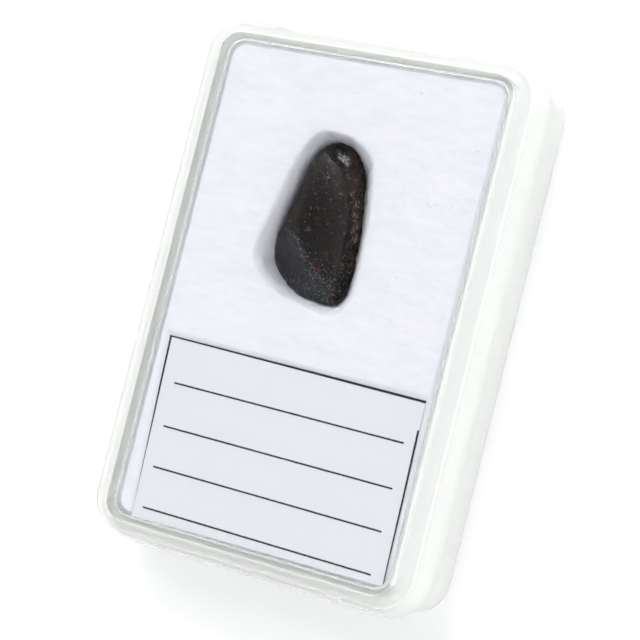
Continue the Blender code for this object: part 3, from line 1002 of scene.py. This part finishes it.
# %% Ruled paper material
ROW_LINES = (-13.8, -19.55, -24.95, -30.35)
ROW_START, ROW_END = -15.85, 17.45
# The sheet was cut askew, so the rows drop a little from left to right
ROW_DROP = 0.15
LINE_WIDTH = 0.24
BORDER_WIDTH = 0.34
LEFT_BORDER_WIDTH = 0.31
TOP_BORDER = ((-19.5, -7.91), (19.3, -8.44))
LEFT_BORDER = ((-18.06, -7.0), (-17.30, -32.5))
RIGHT_BORDER = ((18.95, -12.0), (19.45, -32.6))
# Toner frays by this much, and its edge is this soft
FRAY = 0.05
INK_EDGE = 0.05

# Uncoated printer paper: matt, slightly blue white, with a faint tooth
paper, tree, shader = new_finish("ruled_printer_paper", Roughness=0.9)
place = add(tree, "ShaderNodeTexCoord", out="Object")
in_mm = add(tree, "ShaderNodeVectorMath", {0: place, "Scale": 1 / MM}, operation="SCALE")
fray = add(tree, "ShaderNodeTexNoise", {"Vector": place, "Scale": per_metre(0.35), "Detail": 2.0})
fray = add(tree, "ShaderNodeMapRange", {"Value": fray, "To Min": -FRAY, "To Max": FRAY})


def ruled_line(start, end, width):
    """1 on a printed line between two places on the paper, 0 beside it."""
    start, end = Vector((*start, 0)), Vector((*end, 0))
    along = (end - start).normalized()
    across = Vector((-along.y, along.x, 0))
    offset = add(tree, "ShaderNodeVectorMath", {0: in_mm, 1: start}, operation="SUBTRACT")
    run = add(tree, "ShaderNodeVectorMath", {0: offset, 1: along}, out="Value", operation="DOT_PRODUCT")
    off = add(tree, "ShaderNodeVectorMath", {0: offset, 1: across}, out="Value", operation="DOT_PRODUCT")
    off = add(tree, "ShaderNodeMath", {0: off}, operation="ABSOLUTE")
    off = add(tree, "ShaderNodeMath", {0: off, 1: fray}, operation="ADD")
    length = (end - start).length
    middle = add(tree, "ShaderNodeMath", {0: run, 1: length / 2}, operation="SUBTRACT")
    beyond = add(tree, "ShaderNodeMath", {0: middle}, operation="ABSOLUTE")
    beyond = add(tree, "ShaderNodeMath", {0: beyond, 1: length / 2}, operation="SUBTRACT")
    beyond = add(tree, "ShaderNodeMath", {0: beyond, 1: width / 2}, operation="ADD")
    furthest = add(tree, "ShaderNodeMath", {0: off, 1: beyond}, operation="MAXIMUM")
    return add(tree, "ShaderNodeMapRange", {
        "Value": furthest, "From Min": width / 2 + INK_EDGE, "From Max": width / 2 - INK_EDGE})


ink = ruled_line(*TOP_BORDER, BORDER_WIDTH)
lines = [(*LEFT_BORDER, LEFT_BORDER_WIDTH), (*RIGHT_BORDER, BORDER_WIDTH)]
lines += [((ROW_START, y), (ROW_END, y - ROW_DROP), LINE_WIDTH) for y in ROW_LINES]
for start, end, width in lines:
    printed = ruled_line(start, end, width)
    ink = add(tree, "ShaderNodeMath", {0: ink, 1: printed}, operation="MAXIMUM")
tooth = add(tree, "ShaderNodeTexNoise", {"Vector": place, "Scale": per_metre(0.16), "Detail": 2.0})
sheet_colour = add(tree, "ShaderNodeMix", {
    "Factor": tooth, "A": hex_colour("#d5d9dd"), "B": hex_colour("#dddfe4")}, data_type="RGBA")
colour = add(tree, "ShaderNodeMix", {
    "Factor": ink, "A": sheet_colour, "B": hex_colour("#1b1c1f")}, data_type="RGBA")
relief = add(tree, "ShaderNodeBump", {"Height": tooth, "Distance": 0.01 * MM, "Strength": 0.5})
set_inputs(tree, shader, {"Base Color": colour, "Normal": relief})
label.data.materials.append(paper)
print(f"{paper.name}: {len(lines) + 1} ruled lines, {len(tree.nodes)} nodes")

# %% [markdown]
# ## The clear case
#
# Lid and base are injection moulded in clear polystyrene: thin even walls, small radii on every
# edge and a wall that leans a little so that it leaves the mould. Each is one closed wall, made as
# a row of rounded rectangles from the inside over the rim to the outside. A ring lies close beside
# each edge, so that the flat faces stay truly flat in their shading and don't bend the view.

# %% Case sizes
# An outline is a rounded rectangle: half its width, half its length and its corner radius
CASE_LOW, CASE_HIGH = (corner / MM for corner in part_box("case_lid"))
_, BASE_HIGH = (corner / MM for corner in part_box("case_base"))
HEIGHT = CASE_HIGH.z
SKIRT_FOOT = CASE_LOW.z
WALL = 1.0
WINDOW = (21.1, 33.0, 3.3)
WINDOW_RISE = 1.0
RIM = (23.2, 34.3, 4.6)
SKIRT = (CASE_HIGH.x, CASE_HIGH.y, 5.7)
BASE = (23.8, 34.9, 5.2)
BASE_TOP = 7.5
BASE_DRAFT = 0.15
BASE_CURVE = 1.1
BASE_CURVE_STEPS = 8
FLOOR_THICK = 1.2
LIP = (22.3, 33.4, 3.7)
LIP_WALL = 0.7
LIP_TOP = BASE_HIGH.z
SHELF = 1.1
FILLET = 0.4
WINDOW_FILLET = 0.2
EDGE = 0.25
# The middle of a small round edge lies this share of its radius inside both faces
MITRE = 0.3
SMALLEST_RADIUS = 0.3
CORNER_STEPS = 14
BUMP_X = 13.2
BUMP_WIDTH = 3.0
BUMP_HEIGHT = 0.35
BUMP_DEPTH = 1.0
BUMP_POINTS = 13
# How close the ring beside an edge lies
SUPPORT = 0.04
print("case height", round(HEIGHT, 2), "mm, skirt from", round(SKIRT_FOOT, 2), "mm")


def inset(outline, amount):
    """The outline (half x, half y, radius) moved inwards by an amount."""
    half_x, half_y, radius = outline
    return half_x - amount, half_y - amount, max(radius - amount, SMALLEST_RADIUS)


def case_ring(outline, z, bump=0.0):
    """Points round a rounded rectangle, anticlockwise, with the snap bumps on its two end sides."""
    half_x, half_y, radius = outline
    points = []
    for side_x, side_y, start in ((1, 1, 0.0), (-1, 1, 90.0), (-1, -1, 180.0), (1, -1, 270.0)):
        for step in range(CORNER_STEPS + 1):
            angle = math.radians(start + 90.0 * step / CORNER_STEPS)
            x = side_x * (half_x - radius) + radius * math.cos(angle)
            y = side_y * (half_y - radius) + radius * math.sin(angle)
            points.append((x, y, z))
        if side_x == side_y:
            for middle in (side_x * BUMP_X, -side_x * BUMP_X):
                for part in np.linspace(-1, 1, BUMP_POINTS):
                    x = middle - side_x * part * BUMP_WIDTH / 2
                    rise = bump * math.cos(part * math.pi / 2) ** 2
                    points.append((x, side_y * (half_y + rise), z))
    return points


def round_edge(outline, z, radius, start, end, bump=0.0, steps=5):
    """Rings round an edge: the outline and z are where its two faces would meet if it were sharp."""
    rings = []
    for step in range(steps + 1):
        angle = math.radians(start + (end - start) * step / steps)
        drawn_in = radius * (1 - math.cos(angle))
        drop = radius * (1 - math.sin(angle))
        rings.append(case_ring(inset(outline, drawn_in), z - drop, bump))
    return rings


def wall_from(rings):
    """A closed body through the rings, with a flat face across the first and the last."""
    shape = bmesh.new()
    loops = [[shape.verts.new(point) for point in ring] for ring in rings]
    for low, high in zip(loops, loops[1:]):
        for index in range(len(low)):
            following = (index + 1) % len(low)
            shape.faces.new((low[index], low[following], high[following], high[index]))
    shape.faces.new(loops[0])
    shape.faces.new(loops[-1])
    bmesh.ops.recalc_face_normals(shape, faces=shape.faces)
    return shape


# %% Lid
ledge = HEIGHT - WINDOW_RISE
inner_window = inset(WINDOW, WALL)
lid_rings = [case_ring(inset(inner_window, WINDOW_FILLET + SUPPORT), HEIGHT - WALL)]
lid_rings += round_edge(inner_window, HEIGHT - WALL, WINDOW_FILLET, 90, 0)
lid_rings += [
    case_ring(inner_window, ledge - WALL + EDGE),
    case_ring(inset(WINDOW, WALL - EDGE), ledge - WALL),
    case_ring(inset(RIM, WALL + FILLET), ledge - WALL),
]
lid_rings += round_edge(inset(RIM, WALL), ledge - WALL, FILLET, 75, 15, steps=3)
lid_rings += [
    case_ring(inset(SKIRT, WALL), SKIRT_FOOT + SUPPORT),
    case_ring(inset(SKIRT, WALL - SUPPORT), SKIRT_FOOT),
    case_ring(inset(SKIRT, EDGE / 2), SKIRT_FOOT),
    case_ring(inset(SKIRT, EDGE / 8), SKIRT_FOOT + EDGE / 4),
    case_ring(SKIRT, SKIRT_FOOT + EDGE / 2),
    case_ring(RIM, ledge - BUMP_DEPTH),
]
lid_rings += round_edge(RIM, ledge, EDGE, 0, 90, BUMP_HEIGHT)
lid_rings += [
    case_ring(inset(RIM, EDGE + SUPPORT), ledge, BUMP_HEIGHT),
    case_ring(inset(WINDOW, -EDGE / 2), ledge),
    case_ring(inset(WINDOW, -EDGE / 8), ledge + EDGE / 8),
    case_ring(WINDOW, ledge + EDGE / 2),
]
lid_rings += round_edge(WINDOW, HEIGHT, EDGE, 0, 90)
lid_rings.append(case_ring(inset(WINDOW, EDGE + SUPPORT), HEIGHT))
lid = add_piece("clear_lid", wall_from(lid_rings), sharp_angle=40)

# %% Base
inner_lip = inset(LIP, LIP_WALL)
inner_base = inset(BASE, WALL)
base_rings = [
    case_ring(inset(inner_base, FILLET + SUPPORT), FLOOR_THICK),
    case_ring(inset(inner_base, FILLET), FLOOR_THICK),
    case_ring(inset(inner_base, FILLET * MITRE), FLOOR_THICK + FILLET * MITRE),
    case_ring(inner_base, FLOOR_THICK + FILLET),
    case_ring(inner_base, BASE_TOP - SHELF),
    case_ring(inner_lip, BASE_TOP - SHELF + FILLET),
    case_ring(inner_lip, LIP_TOP - EDGE / 2),
    case_ring(inset(inner_lip, -EDGE / 2), LIP_TOP),
    case_ring(inset(LIP, EDGE), LIP_TOP),
    case_ring(inset(LIP, EDGE * MITRE), LIP_TOP - EDGE * MITRE),
    case_ring(LIP, LIP_TOP - EDGE),
    case_ring(LIP, BASE_TOP + SUPPORT),
    case_ring(inset(LIP, -SUPPORT), BASE_TOP),
    case_ring(inset(BASE, EDGE), BASE_TOP),
    case_ring(inset(BASE, EDGE * MITRE), BASE_TOP - EDGE * MITRE),
    case_ring(BASE, BASE_TOP - EDGE),
]
lower = inset(BASE, BASE_DRAFT)
for step in range(BASE_CURVE_STEPS + 1):
    turn = math.radians(90 * step / BASE_CURVE_STEPS)
    drawn_in = BASE_CURVE * (1 - math.cos(turn))
    base_rings.append(case_ring(inset(lower, drawn_in), BASE_CURVE * (1 - math.sin(turn))))
base_rings.append(case_ring(inset(lower, BASE_CURVE + SUPPORT), 0.0))
base = add_piece("clear_base", wall_from(base_rings), sharp_angle=40)

# %% [markdown]
# ## Clear polystyrene
#
# Crystal polystyrene bends light strongly (IOR 1.59). The window is mould-polished to a mirror.
# The rims are thicker and seen edge on, where the melt's fine haze adds up: they look milky, with
# the faintest touch of green, so their finish scatters part of the light and passes the rest.

# %% Polystyrene materials
def polystyrene(name, gloss, **constants):
    """Injection-moulded polystyrene: slow cooling waves, and scuffs that break the gloss a little."""
    made, tree, shader = new_finish(name, IOR=1.59, **constants)
    place = add(tree, "ShaderNodeTexCoord", out="Object")
    scuffs = add(tree, "ShaderNodeTexNoise", {"Vector": place, "Scale": per_metre(1.2), "Detail": 4.0})
    roughness = add(tree, "ShaderNodeMapRange", {
        "Value": scuffs, "From Min": 0.5, "From Max": 0.8, "To Min": gloss[0], "To Max": gloss[1]})
    cooling = add(tree, "ShaderNodeTexNoise", {"Vector": place, "Scale": per_metre(9.0), "Detail": 1.0})
    relief = add(tree, "ShaderNodeBump", {"Height": cooling, "Distance": 0.02 * MM, "Strength": 0.3})
    set_inputs(tree, shader, {"Roughness": roughness, "Normal": relief})
    print(f"{made.name}: {len(tree.nodes)} nodes")
    return made


window_plastic = polystyrene(
    "clear_polystyrene_polished", (0.015, 0.05),
    Base_Color=hex_colour("#ffffff"), Transmission_Weight=1.0,
)
rim_plastic = polystyrene(
    "clear_polystyrene_rim", (0.12, 0.18),
    Base_Color=hex_colour("#fefffd"), Transmission_Weight=0.58,
)
for piece in (lid, base):
    piece.data.materials.append(rim_plastic)
    piece.data.materials.append(window_plastic)
# The window's two flat faces are polished, and everything outside its edge is rim
WINDOW_MARGIN = 0.1
window_x, window_y, _ = WINDOW
for polygon in lid.data.polygons:
    middle = polygon.center / MM
    inside_x = abs(middle.x) < window_x - EDGE - WINDOW_MARGIN
    inside_y = abs(middle.y) < window_y - EDGE - WINDOW_MARGIN
    is_high = middle.z > HEIGHT - WALL - WINDOW_MARGIN
    polygon.material_index = int(inside_x and inside_y and is_high)

# %% [markdown]
# ## Every piece in its place
#
# The model has one body, so all pieces ride on it. Five of them stand for the imported solids, which
# stay in the physics model and are hidden.

# %% Ride on the body, and hide the imported solids
for piece, slot in (
    (stone, "weathered_stone"), (lint, "cotton_wadding"), (pad, "cotton_wadding"),
    (fluff, "cotton_wadding"), (strays, "cotton_wadding"), (hairs, "cotton_wadding"),
    (dust, "cotton_wadding"), (label, "label_paper"), (lid, "clear_polystyrene"),
    (base, "clear_polystyrene"),
):
    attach(piece, "root")
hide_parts("meteorite")
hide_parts("cotton_pad")
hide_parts("label_card")
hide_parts("case_lid")
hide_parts("case_base")
